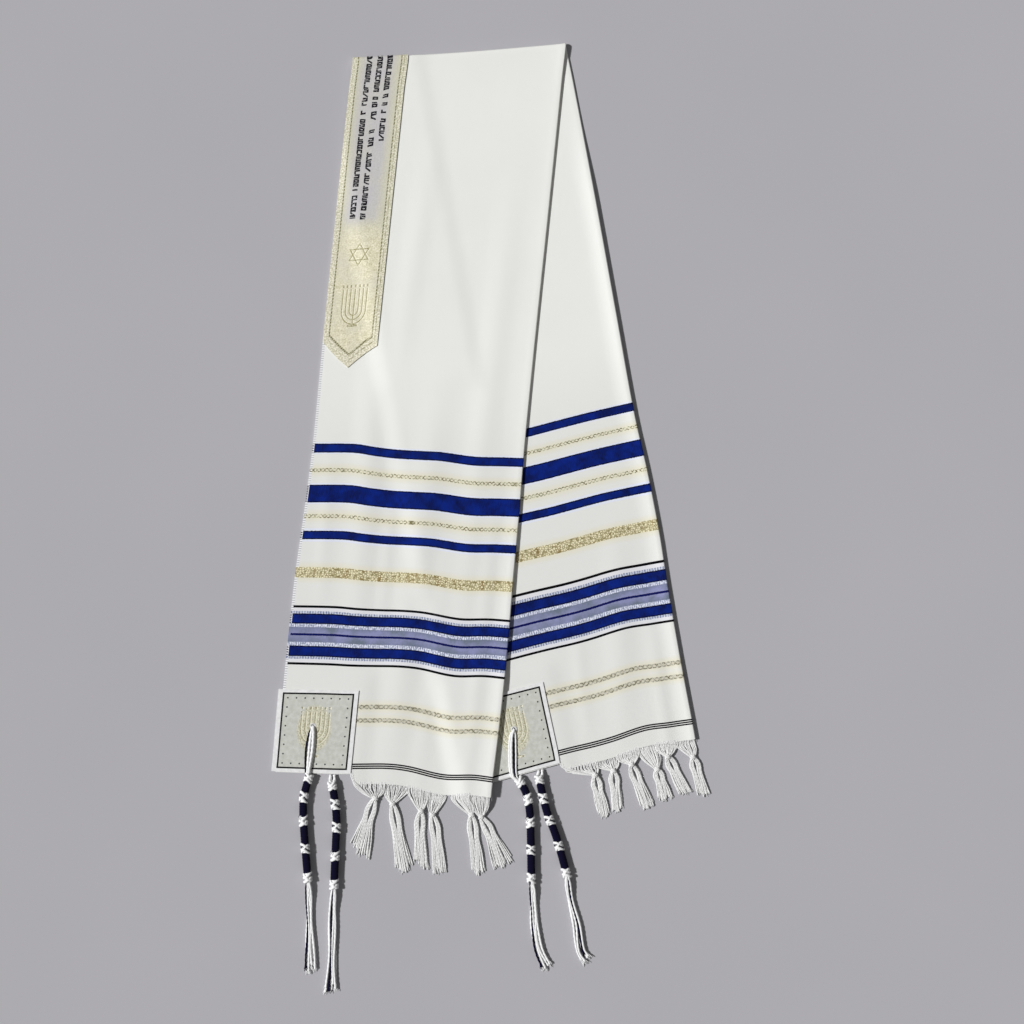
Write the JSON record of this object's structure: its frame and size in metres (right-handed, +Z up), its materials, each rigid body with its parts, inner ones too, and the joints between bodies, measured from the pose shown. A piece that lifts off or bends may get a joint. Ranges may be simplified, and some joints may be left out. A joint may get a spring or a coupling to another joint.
{
  "type": "prayer shawl",
  "caption": "Tallit prayer shawl folded flat into fanned bands, white with blue and gold stripes, a brocade neckband, corner patches, fringe and knotted tassels",
  "frame": {"origin": "centre of the shawl's bounding box in plan, on the surface that it lies on", "axes": "+X to the right across the bands, +Y from the fringe towards the top fold, +Z up out of the surface"},
  "size_m": [0.5385, 1.168, 0.012],
  "materials": {
    "white_cloth": "plain woven, matt, with woven blue, black and gold stripes at both ends",
    "cream_gold_brocade": "jacquard woven, soft sheen",
    "silver_grey_patch": "jacquard woven, soft sheen",
    "white_yarn": "twisted yarn, matt",
    "white_and_navy_cord": "white twisted cord wound with navy cord, matt"
  },
  "bodies": {
    "root": {"shawl_cloth": "white_cloth", "atarah_neckband": "cream_gold_brocade", "corner_patch_front_upper": "silver_grey_patch", "corner_patch_front_lower": "silver_grey_patch", "corner_patch_rear_upper": "silver_grey_patch", "corner_patch_rear_lower": "silver_grey_patch", "fringe_front_upper": "white_yarn", "fringe_front_lower": "white_yarn", "fringe_rear_upper": "white_yarn", "fringe_rear_lower": "white_yarn", "tzitzit_front_upper": "white_and_navy_cord", "tzitzit_front_lower": "white_and_navy_cord", "tzitzit_rear_upper": "white_and_navy_cord", "tzitzit_rear_lower": "white_and_navy_cord"}
  },
  "joints": []
}
